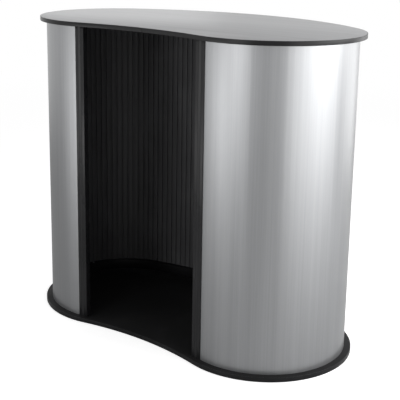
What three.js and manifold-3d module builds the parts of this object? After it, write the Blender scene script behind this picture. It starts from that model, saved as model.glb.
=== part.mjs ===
// Kidney-shaped promotion counter: base, slatted tambour wrap, two posts and a lift-off worktop.
// Millimetres. +Z is up, +X runs along the counter and the open staff side faces -Y.
import * as THREE from 'three';
import { mergeVertices } from 'three/addons/utils/BufferGeometryUtils.js';
import Module from 'manifold-3d';

const wasm = await Module();
wasm.setup();

// Overall sizes
const counterHeight = 1000;
const fit = 0.3;
const glueLine = 0.1;
const cutOverrun = 5;

// Kidney outline that the worktop and the base share
const lobeSpacing = 605;
const lobeRadius = 279;
const frontHollowRadius = 1008;
const backBulgeRadius = 812;

// Panels: a board core between two laminates, with an edge band bent round all three
const coreThickness = 12;
const laminateThickness = 0.8;
const edgeBandThickness = 1.5;
const bandSeamWidth = 0.5;

// Tambour wrap: a kerf-cut board with a metal facing, flatter at the back than the worktop
const wrapInset = 21;
const wrapBackRadius = 1490;
const tambourThickness = 7;
const facingThickness = 0.8;
const slatPitch = 20;
const kerfMouth = 3;
const kerfFloor = 1.4;
const webThickness = 1.2;

// Guide rails inside the wrap's foot and head
const railThickness = 15.5;
const railHeight = 34;
const railClearance = 0.6;
const railEndGap = 2;
const railScrewCount = 6;
const railScrewMargin = 60;

// Rail screws, countersunk
const screwRadius = 2;
const screwHeadRadius = 4;
const screwHeadDepth = 2.2;
const screwBite = 8;
const screwTipLength = 3;

// Posts that frame the staff opening and take the wrap's two ends
const postSpacing = 487;
const openingOffset = -10;
const postWidth = 34;
const postDepth = 20;
const postTurn = THREE.MathUtils.degToRad(4);
const postCornerRadius = 1.5;
const postWall = 2;
const postFlange = 2;
const postSlotDepth = 8;
const postChamberWidth = 11;
const postPortOffset = 2;
const faceGrooveWidth = 1.2;
const faceGrooveDepth = 0.7;
const faceGrooveSpacing = 11;

// Foot bolts under the posts, and the pins that locate the worktop on them
const boltRadius = 3;
const boltHeadRadius = 6;
const boltHeadDepth = 3.2;
const boltReach = 45;
const pinReach = 30;
const pinRise = 8;
const pinTipChamfer = 1;

// Pads under the base
const padRadius = 15;
const padThickness = 2;
const padInset = 48;
const backPadSpacing = 330;

// Smoothness of the curves
const lobeSteps = 40;
const backSteps = 16;
const frontSteps = 5;
const railStepLength = 22;
const turnedSteps = 12;
const padSteps = 24;
const cornerSteps = 3;

// Heights and places that follow from the sizes above
const panelThickness = coreThickness + 2 * (laminateThickness + glueLine);
const baseTop = padThickness + panelThickness;
const worktopUnderside = counterHeight - panelThickness;
const standHeight = worktopUnderside - baseTop - 2 * fit;
const lobeX = lobeSpacing / 2;
const frontCentreY = -Math.sqrt((frontHollowRadius + lobeRadius) ** 2 - lobeX ** 2);
const frontTangent = Math.atan2(-frontCentreY, lobeX);
const backCentreY = -Math.sqrt((backBulgeRadius - lobeRadius) ** 2 - lobeX ** 2);
const backTangent = Math.atan2(-backCentreY, lobeX);
const wrapLobeRadius = lobeRadius - wrapInset;
const wrapBackCentreY = -Math.sqrt((wrapBackRadius - wrapLobeRadius) ** 2 - lobeX ** 2);
const wrapBackTangent = Math.atan2(-wrapBackCentreY, lobeX);
const boardInset = facingThickness + glueLine;
const railInset = boardInset + tambourThickness + railClearance;
const depthCentre = (backCentreY + backBulgeRadius - lobeRadius) / 2;

// Finishes
function finish(color, roughness, metalness) {
  return new THREE.MeshStandardMaterial({ color, roughness, metalness });
}

const finishes = {
  brushedLaminate: finish(0xb3b3b5, 0.42, 0.6),
  blackLaminate: finish(0x17181a, 0.3, 0),
  edgeBand: finish(0x141517, 0.28, 0),
  coreBoard: finish(0x9c7c55, 0.8, 0),
  tambourBoard: finish(0x1c1c1e, 0.5, 0),
  facing: finish(0xb2b4b6, 0.34, 0.9),
  rail: finish(0x151517, 0.45, 0),
  post: finish(0x1b1c1f, 0.3, 0.3),
  steel: finish(0x8e9094, 0.35, 0.9),
  pad: finish(0x202122, 0.85, 0),
};

// Points along an arc, from one angle to another, both ends included.
function arcPoints(centreX, centreY, radius, from, to, steps) {
  const points = [];
  for (let step = 0; step <= steps; step++) {
    const angle = from + (to - from) * step / steps;
    points.push(new THREE.Vector2(centreX + radius * Math.cos(angle), centreY + radius * Math.sin(angle)));
  }
  return points;
}

// Kidney outline drawn in by an inset, counter-clockwise from one side of a seam at the front's middle.
function kidneyPoints(inset, seamWidth) {
  const lobe = lobeRadius - inset;
  const hollow = frontHollowRadius + inset;
  const bulge = backBulgeRadius - inset;
  const seamAngle = seamWidth / 2 / frontHollowRadius;
  const middle = Math.PI / 2;
  return [
    ...arcPoints(0, frontCentreY, hollow, middle - seamAngle, frontTangent, frontSteps),
    ...arcPoints(lobeX, 0, lobe, frontTangent - Math.PI, backTangent, lobeSteps).slice(1),
    ...arcPoints(0, backCentreY, bulge, backTangent, Math.PI - backTangent, backSteps).slice(1),
    ...arcPoints(-lobeX, 0, lobe, Math.PI - backTangent, 2 * Math.PI - frontTangent, lobeSteps).slice(1),
    ...arcPoints(0, frontCentreY, hollow, Math.PI - frontTangent, middle + seamAngle, frontSteps).slice(1),
  ];
}

// Angle on the right lobe, below its centre, at which a circle of a given radius passes an x.
function lobeAngleAt(x, radius) {
  return -Math.acos((x - lobeX) / radius);
}

// The wrap's line drawn in by an inset, from the right end round the back to the left end.
function wrapLine(inset, rightAngle, leftAngle) {
  const lobe = wrapLobeRadius - inset;
  const back = wrapBackRadius - inset;
  const line = new THREE.CurvePath();
  line.add(new THREE.ArcCurve(lobeX, 0, lobe, rightAngle, wrapBackTangent, false));
  line.add(new THREE.ArcCurve(0, wrapBackCentreY, back, wrapBackTangent, Math.PI - wrapBackTangent, false));
  line.add(new THREE.ArcCurve(-lobeX, 0, lobe, Math.PI - wrapBackTangent, Math.PI - leftAngle, false));
  return line;
}

// Unit direction from one point to the next.
function direction(from, to) {
  return to.clone().sub(from).normalize();
}

// Unit vector to the right of a direction, which is the outside of a counter-clockwise line.
function outwardOf(along) {
  return new THREE.Vector2(along.y, -along.x);
}

// A line moved outwards by a distance, with its corners mitred.
function offsetLine(points, distance) {
  return points.map((point, index) => {
    const before = direction(points[Math.max(index - 1, 0)], points[Math.max(index, 1)]);
    const after = direction(
      points[Math.min(index, points.length - 2)],
      points[Math.min(index + 1, points.length - 1)],
    );
    const mitre = outwardOf(before).add(outwardOf(after)).normalize();
    return point.clone().addScaledVector(mitre, distance / mitre.dot(outwardOf(before)));
  });
}

// Where each post stands: side is 1 for the right post and -1 for the left one.
function postPlace(side) {
  const x = openingOffset + side * postSpacing / 2;
  const outerX = Math.abs(x) + postWidth / 2 * Math.cos(postTurn);
  const wrapAngle = lobeAngleAt(outerX, wrapLobeRadius);
  const faceY = wrapLobeRadius * Math.sin(wrapAngle) - postFlange - fit;
  return { side, x, y: faceY + postWidth / 2 * Math.sin(postTurn), outerX, turn: -side * postTurn };
}

const rightPost = postPlace(1);
const leftPost = postPlace(-1);

// Stands a flat outline up into a prism of a given height.
function prism(outline, height) {
  const settings = { depth: height, bevelEnabled: false, curveSegments: cornerSteps };
  return new THREE.ExtrudeGeometry(outline, settings);
}

// Turns a profile of radius and height, which starts and ends on the axis, round +Z.
function turned(profile, steps = turnedSteps) {
  const points = profile.map(([radius, height]) => new THREE.Vector2(radius, height));
  return new THREE.LatheGeometry(points, steps).rotateX(Math.PI / 2);
}

// A closed geometry as a solid for cutting.
function solidOf(geometry) {
  const bare = geometry.clone();
  bare.deleteAttribute('normal');
  bare.deleteAttribute('uv');
  const merged = mergeVertices(bare);
  const vertProperties = new Float32Array(merged.attributes.position.array);
  const triVerts = new Uint32Array(merged.index.array);
  return new wasm.Manifold(new wasm.Mesh({ numProp: 3, vertProperties, triVerts }));
}

// The geometry that is left of a blank once every cutter is taken away.
function cut(blank, cutters) {
  let solid = solidOf(blank);
  for (const cutter of cutters) {
    solid = solid.subtract(solidOf(cutter));
  }
  const mesh = solid.getMesh();
  const geometry = new THREE.BufferGeometry();
  geometry.setAttribute('position', new THREE.BufferAttribute(mesh.vertProperties, mesh.numProp));
  geometry.setIndex(new THREE.BufferAttribute(mesh.triVerts, 1));
  geometry.computeVertexNormals();
  return geometry;
}

// A round hole from one height to another.
function holeCutter(place, radius, low, high) {
  const cutter = turned([[0, low], [radius, low], [radius, high], [0, high]]);
  return cutter.translate(place.x, place.y, 0);
}

// A cone that sinks a screw head into a face: wide at the face height, narrow below or above it.
function sinkCutter(place, headRadius, shankRadius, headDepth, face, up) {
  const slope = (headRadius - shankRadius) / headDepth;
  const wide = headRadius + fit + slope * cutOverrun;
  const profile = [[0, -headDepth], [shankRadius + fit, -headDepth], [wide, cutOverrun], [0, cutOverrun]];
  const cutter = turned(profile);
  if (!up) {
    cutter.rotateX(Math.PI);
  }
  return cutter.translate(place.x, place.y, face);
}

// A countersunk screw or bolt, head at height zero and shank pointing down.
function countersunkScrew(shankRadius, headRadius, headDepth, length, tipLength) {
  return turned([
    [0, -length],
    [shankRadius / 2, -length],
    [shankRadius, tipLength - length],
    [shankRadius, -headDepth],
    [headRadius, 0],
    [0, 0],
  ]);
}

// Axis of the screw port in a post, in the part's plan.
function portPlace(post) {
  const port = new THREE.Vector2(post.side * postPortOffset, postDepth / 2);
  return port.rotateAround(new THREE.Vector2(), post.turn).add(new THREE.Vector2(post.x, post.y));
}

const portPlaces = [rightPost, leftPost].map(portPlace);

// Angles at which the rails start and end, clear of the posts.
function railAngles() {
  const outer = wrapLobeRadius - railInset;
  return [rightPost, leftPost].map((post) => lobeAngleAt(post.outerX + railEndGap, outer));
}

// Places of the rail screws, evenly spaced along the middle of the rail.
function railScrewPlaces() {
  const line = wrapLine(railInset + railThickness / 2, ...railAngles());
  const length = line.getLength();
  const places = [];
  for (let index = 0; index < railScrewCount; index++) {
    const along = railScrewMargin + (length - 2 * railScrewMargin) * index / (railScrewCount - 1);
    places.push(line.getPoint(along / length));
  }
  return places;
}

const screwPlaces = railScrewPlaces();

// The curved guide rail, with a countersunk hole for each screw in its upper face.
function guideRail() {
  const angles = railAngles();
  const outerLine = wrapLine(railInset, ...angles);
  const steps = Math.round(outerLine.getLength() / railStepLength);
  const outer = outerLine.getSpacedPoints(steps);
  const inner = wrapLine(railInset + railThickness, ...angles).getSpacedPoints(steps);
  const blank = prism(new THREE.Shape([...outer, ...inner.reverse()]), railHeight);
  const cutters = [];
  for (const place of screwPlaces) {
    cutters.push(holeCutter(place, screwRadius + fit, -cutOverrun, railHeight + cutOverrun));
    cutters.push(sinkCutter(place, screwHeadRadius, screwRadius, screwHeadDepth, railHeight, true));
  }
  return cut(blank, cutters);
}

// One flat sheet of a panel, with the outline that the edge band goes round.
function panelSheet(thickness) {
  const outline = kidneyPoints(edgeBandThickness + glueLine, 0).slice(0, -1);
  return prism(new THREE.Shape(outline), thickness);
}

// The edge band: one strip bent round the panel, its ends meeting in a fine seam at the front's middle.
function edgeBand() {
  const outer = kidneyPoints(0, bandSeamWidth);
  const inner = kidneyPoints(edgeBandThickness, bandSeamWidth);
  return prism(new THREE.Shape([...outer, ...inner.reverse()]), panelThickness);
}

// Cross-section of the kerf-cut board: flat slats on the inside, joined by the web that the kerfs leave.
function tambourSection(line) {
  const inner = [];
  const last = line.length - 2;
  for (let slat = 0; slat <= last; slat++) {
    const along = direction(line[slat], line[slat + 1]);
    const inward = outwardOf(along).negate();
    const corner = (end, back, depth) => (
      end.clone().addScaledVector(along, back).addScaledVector(inward, depth)
    );
    if (slat === 0) {
      inner.push(corner(line[slat], 0, tambourThickness));
    } else {
      inner.push(corner(line[slat], kerfFloor / 2, webThickness));
      inner.push(corner(line[slat], kerfMouth / 2, tambourThickness));
    }
    if (slat === last) {
      inner.push(corner(line[slat + 1], 0, tambourThickness));
    } else {
      inner.push(corner(line[slat + 1], -kerfMouth / 2, tambourThickness));
      inner.push(corner(line[slat + 1], -kerfFloor / 2, webThickness));
    }
  }
  return new THREE.Shape([...line, ...inner.reverse()]);
}

// Line of the board's outer face, with one straight stretch for each slat.
function tambourLine() {
  const radius = wrapLobeRadius - boardInset;
  const angles = [rightPost, leftPost].map((post) => lobeAngleAt(post.outerX - postSlotDepth, radius));
  const line = wrapLine(boardInset, ...angles);
  return line.getSpacedPoints(Math.round(line.getLength() / slatPitch));
}

const slatLine = tambourLine();

// The metal facing, bent a little at every kerf like the board that it is glued to.
function tambourFacing() {
  const inner = offsetLine(slatLine, glueLine);
  const outer = offsetLine(slatLine, glueLine + facingThickness);
  return prism(new THREE.Shape([...outer, ...inner.reverse()]), standHeight);
}

// Outline of the post's extrusion: rounded corners and two fine grooves down its face.
function postOutline() {
  const half = postWidth / 2;
  const radius = postCornerRadius;
  const outline = new THREE.Shape();
  outline.moveTo(-half + radius, 0);
  for (const middle of [-faceGrooveSpacing / 2, faceGrooveSpacing / 2]) {
    outline.lineTo(middle - faceGrooveWidth / 2, 0);
    outline.lineTo(middle, faceGrooveDepth);
    outline.lineTo(middle + faceGrooveWidth / 2, 0);
  }
  outline.lineTo(half - radius, 0);
  outline.absarc(half - radius, radius, radius, -Math.PI / 2, 0, false);
  outline.absarc(half - radius, postDepth - radius, radius, 0, Math.PI / 2, false);
  outline.absarc(-half + radius, postDepth - radius, radius, Math.PI / 2, Math.PI, false);
  outline.absarc(-half + radius, radius, radius, Math.PI, 3 * Math.PI / 2, false);
  return outline;
}

// The post's long hollow, on the side of the staff opening.
function postChamber(side) {
  const near = -side * (postWidth / 2 - postWall);
  const far = near + side * postChamberWidth;
  const chamber = new THREE.Path();
  chamber.moveTo(near, postWall);
  chamber.lineTo(far, postWall);
  chamber.lineTo(far, postDepth - postWall);
  chamber.lineTo(near, postDepth - postWall);
  chamber.closePath();
  return chamber;
}

// Slot in the part's plan that takes the end of the wrap, along the wrap's own direction.
function wrapSlotCutter(post) {
  const line = post.side > 0 ? slatLine : [...slatLine].reverse();
  const along = direction(line[0], line[1]);
  const outward = outwardOf(along).multiplyScalar(post.side);
  const corner = (forward, out) => (
    line[0].clone().addScaledVector(along, forward).addScaledVector(outward, out)
  );
  const front = boardInset + fit;
  const back = -tambourThickness - fit;
  const outline = new THREE.Shape([
    corner(-fit, back),
    corner(-fit, front),
    corner(postWidth, front),
    corner(postWidth, back),
  ]);
  return prism(outline, standHeight + 2 * cutOverrun).translate(0, 0, -cutOverrun);
}

// One post in the part's plan, its foot at height zero.
function postGeometry(post) {
  const outline = postOutline();
  outline.holes.push(postChamber(post.side));
  const blank = prism(outline, standHeight).rotateZ(post.turn).translate(post.x, post.y, 0);
  const port = holeCutter(portPlace(post), boltRadius + fit, -cutOverrun, standHeight + cutOverrun);
  return cut(blank, [port, wrapSlotCutter(post)]);
}

// Pads: one near each end of both lobes, and two behind the middle.
function padPlaces() {
  const reach = lobeRadius - padInset;
  const places = [];
  for (const side of [1, -1]) {
    places.push(new THREE.Vector2(side * (lobeX + reach), 0));
    places.push(new THREE.Vector2(side * lobeX, -reach));
    const back = backBulgeRadius - padInset;
    const angle = Math.asin(backPadSpacing / 2 / back);
    places.push(new THREE.Vector2(side * back * Math.sin(angle), backCentreY + back * Math.cos(angle)));
  }
  return places;
}

const counter = new THREE.Group();
counter.position.y = -depthCentre;

// Adds one named piece to a group, at a height.
function add(parent, name, geometry, material, height) {
  const mesh = new THREE.Mesh(geometry, material);
  mesh.name = name;
  mesh.position.z = height;
  parent.add(mesh);
  return mesh;
}

// A panel: backer, core, face laminate and edge band, each cut for the screws that pass it.
function addPanel(parent, name, faceMaterial, backCutters, coreCutters, faceCutters) {
  const coreFoot = laminateThickness + glueLine;
  const faceFoot = coreFoot + coreThickness + glueLine;
  const lower = (cutters, by) => cutters.map((cutter) => cutter.clone().translate(0, 0, -by));
  const backer = cut(panelSheet(laminateThickness), backCutters);
  const core = cut(panelSheet(coreThickness), lower(coreCutters, coreFoot));
  const face = cut(panelSheet(laminateThickness), lower(faceCutters, faceFoot));
  add(parent, `${name}_backer`, backer, finishes.blackLaminate, 0);
  add(parent, `${name}_core`, core, finishes.coreBoard, coreFoot);
  add(parent, `${name}_laminate`, face, faceMaterial, faceFoot);
  add(parent, `${name}_edge_band`, edgeBand(), finishes.edgeBand, 0);
}

// Base panel: bolt holes right through, and blind holes for the rail screws in its upper side.
function addBase(parent) {
  const base = new THREE.Group();
  base.position.z = padThickness;
  parent.add(base);
  const boltHoles = portPlaces.flatMap((place) => [
    holeCutter(place, boltRadius + fit, -cutOverrun, panelThickness + cutOverrun),
    sinkCutter(place, boltHeadRadius, boltRadius, boltHeadDepth, 0, false),
  ]);
  const pilotFoot = panelThickness - laminateThickness - glueLine - screwBite - fit;
  const pilots = screwPlaces.map((place) => (
    holeCutter(place, screwRadius + fit, pilotFoot, panelThickness + cutOverrun)
  ));
  const holes = [...boltHoles, ...pilots];
  addPanel(base, 'base', finishes.blackLaminate, boltHoles, holes, holes);
  padPlaces().forEach((place, index) => {
    const top = padThickness - glueLine;
    const pad = turned([[0, 0], [padRadius, 0], [padRadius, top], [0, top]], padSteps);
    add(parent, `base_pad_${index + 1}`, pad, finishes.pad, 0).position.set(place.x, place.y, 0);
  });
}

// Worktop panel with its locating sockets, upper guide rail and rail screws, all of which lift off together.
function addWorktop(parent) {
  const worktop = new THREE.Group();
  worktop.position.z = worktopUnderside;
  parent.add(worktop);
  const socketTop = laminateThickness + glueLine + pinRise + fit;
  const sockets = portPlaces.map((place) => holeCutter(place, boltRadius + fit, -cutOverrun, socketTop));
  const pilotTop = laminateThickness + glueLine + screwBite + fit;
  const pilots = screwPlaces.map((place) => holeCutter(place, screwRadius + fit, -cutOverrun, pilotTop));
  const holes = [...sockets, ...pilots];
  addPanel(worktop, 'worktop', finishes.brushedLaminate, holes, holes, []);
  const rail = guideRail().scale(1, 1, -1);
  flipFaces(rail);
  add(worktop, 'worktop_guide_rail', rail, finishes.rail, -glueLine);
  screwPlaces.forEach((place, index) => {
    const screw = railScrew().rotateX(Math.PI);
    const mesh = add(worktop, `worktop_rail_screw_${index + 1}`, screw, finishes.steel, 0);
    mesh.position.set(place.x, place.y, -glueLine - railHeight);
  });
}

// Turns every triangle over, after a mirror has turned them inside out.
function flipFaces(geometry) {
  const index = geometry.index.array;
  for (let corner = 0; corner < index.length; corner += 3) {
    [index[corner + 1], index[corner + 2]] = [index[corner + 2], index[corner + 1]];
  }
  geometry.computeVertexNormals();
}

// A rail screw: through the rail and the panel's laminate, and into its core.
function railScrew() {
  const length = railHeight + 2 * glueLine + laminateThickness + screwBite;
  return countersunkScrew(screwRadius, screwHeadRadius, screwHeadDepth, length, screwTipLength);
}

// Lower guide rail, screwed down on the base.
function addBaseRail(parent) {
  add(parent, 'base_guide_rail', guideRail(), finishes.rail, baseTop + glueLine);
  screwPlaces.forEach((place, index) => {
    const mesh = add(parent, `base_rail_screw_${index + 1}`, railScrew(), finishes.steel, 0);
    mesh.position.set(place.x, place.y, baseTop + glueLine + railHeight);
  });
}

// The two posts, each with the bolt that holds its foot and the pin that locates the worktop.
function addPosts(parent) {
  const boltLength = panelThickness + fit + boltReach;
  const pinLength = pinReach + fit + laminateThickness + glueLine + pinRise;
  for (const post of [rightPost, leftPost]) {
    const name = post.side > 0 ? 'right' : 'left';
    const port = portPlace(post);
    add(parent, `${name}_post`, postGeometry(post), finishes.post, baseTop + fit);
    const bolt = countersunkScrew(boltRadius, boltHeadRadius, boltHeadDepth, boltLength, screwTipLength);
    const boltMesh = add(parent, `${name}_foot_bolt`, bolt.rotateX(Math.PI), finishes.steel, 0);
    boltMesh.position.set(port.x, port.y, padThickness);
    const pin = turned([
      [0, 0],
      [boltRadius, 0],
      [boltRadius, pinLength - pinTipChamfer],
      [boltRadius - pinTipChamfer, pinLength],
      [0, pinLength],
    ]);
    const pinMesh = add(parent, `${name}_locating_pin`, pin, finishes.steel, 0);
    pinMesh.position.set(port.x, port.y, worktopUnderside - fit - pinReach);
  }
}

addBase(counter);
addBaseRail(counter);
const tambourBoard = prism(tambourSection(slatLine), standHeight);
add(counter, 'tambour_board', tambourBoard, finishes.tambourBoard, baseTop + fit);
add(counter, 'tambour_facing', tambourFacing(), finishes.facing, baseTop + fit);
addPosts(counter);
addWorktop(counter);

export default counter;
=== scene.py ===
"""Looks of a kidney-shaped counter: slatted wrap, two posts, base and lift-off worktop."""

import logging
import math
from dataclasses import dataclass
from enum import Enum
from typing import Any, Callable, Iterable, Optional, Union

import bmesh
import bpy
from mathutils import Matrix, Vector


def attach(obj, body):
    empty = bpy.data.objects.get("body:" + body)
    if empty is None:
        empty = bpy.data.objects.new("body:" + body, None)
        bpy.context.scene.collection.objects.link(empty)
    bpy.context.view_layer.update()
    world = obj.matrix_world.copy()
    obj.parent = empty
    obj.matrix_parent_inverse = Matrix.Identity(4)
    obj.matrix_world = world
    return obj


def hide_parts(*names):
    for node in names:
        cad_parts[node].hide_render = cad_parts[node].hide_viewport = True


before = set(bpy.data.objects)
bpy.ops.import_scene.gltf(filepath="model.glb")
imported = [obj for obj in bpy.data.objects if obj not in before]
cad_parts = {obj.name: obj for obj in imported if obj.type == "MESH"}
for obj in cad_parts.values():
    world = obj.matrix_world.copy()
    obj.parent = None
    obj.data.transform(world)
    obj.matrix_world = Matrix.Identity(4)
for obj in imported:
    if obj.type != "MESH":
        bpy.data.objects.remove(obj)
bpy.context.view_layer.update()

log = logging.getLogger("counter")

Point = tuple[float, float]
Number = Union[float, "Value"]

# Distances of corners that belong together, that are doubled and that differ by rounding alone
NEAR, DOUBLED, ROUNDING = 1e-5, 1e-6, 1e-9
# Rise over which an edge of a tall piece counts as upright
TALL = 0.1
# How many sides a hole and a screw's head have
HOLE_SIDES, SCREW_SIDES = 24, 28


# Sizes


class Side(Enum):
    """A side of the staff opening, with its sign along X."""

    RIGHT = 1
    LEFT = -1


@dataclass(frozen=True)
class Turn:
    """One arc of a run: its middle, its counter-clockwise angle and its number of steps."""

    middle: Point
    angle: float
    steps: int


@dataclass(frozen=True)
class Run:
    """A line of tangent arcs in plan, from its start."""

    start: Point
    turns: tuple[Turn, ...]


@dataclass(frozen=True)
class Heights:
    """Heights of the counter's levels and thicknesses of its layers."""

    whole: float = 1.0
    fit: float = 0.0003
    glue: float = 0.0001
    pad: float = 0.002
    core: float = 0.012
    laminate: float = 0.0008

    @property
    def panel(self) -> float:
        """Thickness of a whole panel."""
        return self.core + 2 * (self.laminate + self.glue)

    @property
    def base_top(self) -> float:
        """Upper face of the base."""
        return self.pad + self.panel

    @property
    def worktop_foot(self) -> float:
        """Lower face of the worktop."""
        return self.whole - self.panel

    @property
    def stand_foot(self) -> float:
        """Foot of the wrap and the posts."""
        return self.base_top + self.fit

    @property
    def stand_head(self) -> float:
        """Head of the wrap and the posts."""
        return self.worktop_foot - self.fit


@dataclass(frozen=True)
class PostPlace:
    """Where a post stands in plan, and how it is turned."""

    x: float
    y: float
    turn: float
    outer_x: float

    def matrix(self) -> Matrix:
        """Places a post that was shaped round the origin."""
        return shift(self.x, self.y) @ Matrix.Rotation(self.turn, 4, "Z")


@dataclass(frozen=True)
class Plan:
    """The counter's outline in plan, from the two lobes, the front hollow and the back bulge."""

    lobe_x: float = 0.3025
    lobe_radius: float = 0.279
    hollow_radius: float = 1.008
    bulge_radius: float = 0.812
    wrap_inset: float = 0.021
    wrap_back_radius: float = 1.490
    slat_pitch: float = 0.020
    post_spacing: float = 0.487
    opening_offset: float = -0.010
    post_width: float = 0.034
    post_depth: float = 0.020
    post_turn: float = math.radians(4)
    post_flange: float = 0.002
    post_slot: float = 0.008
    port_offset: float = 0.002
    hollow_steps: int = 16
    lobe_steps: int = 72
    bulge_steps: int = 40
    wrap_back_steps: int = 32

    def reach(self, distance: float) -> float:
        """How far along Y an arc's middle is from the lobes', from its distance to either."""
        return math.sqrt(distance**2 - self.lobe_x**2)

    @property
    def lobe_y(self) -> float:
        """Middle of the lobes along Y."""
        return (self.reach(self.bulge_radius - self.lobe_radius) - self.bulge_radius + self.lobe_radius) / 2

    @property
    def hollow_y(self) -> float:
        """Middle of the front hollow along Y."""
        return self.lobe_y - self.reach(self.hollow_radius + self.lobe_radius)

    @property
    def bulge_y(self) -> float:
        """Middle of the back bulge along Y."""
        return self.lobe_y - self.reach(self.bulge_radius - self.lobe_radius)

    @property
    def wrap_radius(self) -> float:
        """Radius of the wrap's outside on the lobes."""
        return self.lobe_radius - self.wrap_inset

    @property
    def wrap_back_y(self) -> float:
        """Middle of the wrap's back along Y."""
        return self.lobe_y - self.reach(self.wrap_back_radius - self.wrap_radius)

    def outline(self, inset: float, seam: float = 0.0) -> Run:
        """Outline of the panels.

        Args:
            inset: how far the line is drawn in.
            seam: gap between the line's ends at the front's middle.

        Returns:
            The run, counter-clockwise from the front's middle.
        """
        hollow = self.hollow_radius + inset
        front = math.atan2(self.lobe_y - self.hollow_y, self.lobe_x)
        back = math.atan2(self.lobe_y - self.bulge_y, self.lobe_x)
        gap = seam / 2 / self.hollow_radius
        quarter = math.pi / 2
        start = (hollow * math.sin(gap), self.hollow_y + hollow * math.cos(gap))
        lobe_turn = math.pi + back - front
        half_hollow = Turn((0, self.hollow_y), front - quarter + gap, self.hollow_steps)
        return Run(start, (
            half_hollow,
            Turn((self.lobe_x, self.lobe_y), lobe_turn, self.lobe_steps),
            Turn((0, self.bulge_y), math.pi - 2 * back, self.bulge_steps),
            Turn((-self.lobe_x, self.lobe_y), lobe_turn, self.lobe_steps),
            half_hollow,
        ))

    def lobe_angle(self, x: float, radius: float) -> float:
        """Angle below a lobe's middle at which a circle passes an x."""
        return -math.acos((x - self.lobe_x) / radius)

    def wrap(self, inset: float, right: float, left: float) -> Run:
        """Line of the wrap or of what follows it.

        Args:
            inset: how far the line is drawn in from the wrap's outside.
            right: angle on the right lobe at which it starts.
            left: angle on the left lobe, mirrored, at which it ends.

        Returns:
            The run, from the right end round the back to the left end.
        """
        radius = self.wrap_radius - inset
        back = math.atan2(self.lobe_y - self.wrap_back_y, self.lobe_x)
        start = (self.lobe_x + radius * math.cos(right), self.lobe_y + radius * math.sin(right))
        return Run(start, (
            Turn((self.lobe_x, self.lobe_y), back - right, self.lobe_steps),
            Turn((0, self.wrap_back_y), math.pi - 2 * back, self.wrap_back_steps),
            Turn((-self.lobe_x, self.lobe_y), back - left, self.lobe_steps),
        ))

    def post(self, side: Side) -> PostPlace:
        """Place of a post.

        Args:
            side: which post.

        Returns:
            Its place, with its outer x measured from the middle.
        """
        half = self.post_width / 2
        x = self.opening_offset + side.value * self.post_spacing / 2
        outer = abs(x) + half * math.cos(self.post_turn)
        angle = self.lobe_angle(outer, self.wrap_radius)
        face = self.lobe_y + self.wrap_radius * math.sin(angle) - self.post_flange - Heights.fit
        return PostPlace(x, face + half * math.sin(self.post_turn), -side.value * self.post_turn, outer)

    def angles(self, beyond: float, radius: float) -> tuple[float, float]:
        """Angles at which a circle passes the two posts' outer sides and a little beyond."""
        right, left = (self.lobe_angle(self.post(side).outer_x + beyond, radius) for side in Side)
        return right, left

    def port(self, side: Side) -> Vector:
        """Middle of the screw port in a post."""
        return self.post(side).matrix() @ Vector((side.value * self.port_offset, self.post_depth / 2, 0))


def points_along(run: Run, pitch: float) -> list[Vector]:
    """Points evenly spaced along a run.

    Args:
        run: the run.
        pitch: their distance, rounded so that a whole number fits.

    Returns:
        The points, both ends included.
    """
    arcs = []
    start = Vector((*run.start, 0))
    for turn in run.turns:
        middle = Vector((*turn.middle, 0))
        arcs.append((middle, start - middle, turn.angle, abs(turn.angle) * (start - middle).length))
        start = middle + Matrix.Rotation(turn.angle, 3, "Z") @ (start - middle)
    length = sum(arc[3] for arc in arcs)
    count = round(length / pitch)
    points = []
    for index in range(count + 1):
        along = length * index / count
        for middle, arm, angle, reach in arcs:
            if along <= reach + ROUNDING:
                points.append(middle + Matrix.Rotation(angle * along / reach, 3, "Z") @ arm)
                break
            along -= reach
    return points


def outward(points: list[Vector], index: int) -> Vector:
    """Mitred direction out of a counter-clockwise line at one of its points.

    Args:
        points: the line's points.
        index: which point.

    Returns:
        The direction, one unit deep.
    """
    before = (points[max(index, 1)] - points[max(index, 1) - 1]).normalized()
    last = min(index, len(points) - 2)
    after = (points[last + 1] - points[last]).normalized()
    sides = [Vector((way.y, -way.x, 0)) for way in (before, after)]
    mitre = (sides[0] + sides[1]).normalized()
    return mitre / mitre.dot(sides[0])


HEIGHTS = Heights()
PLAN = Plan()


# Shaping


class Stock(Enum):
    """What a piece is started from."""

    BLOCK = "block"
    ROUND = "round"
    UPRIGHT = "upright"
    POINT = "point"


class Part(Enum):
    """What of a mesh is selected, with Blender's word for it."""

    CORNER = "VERT"
    EDGE = "EDGE"


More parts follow.
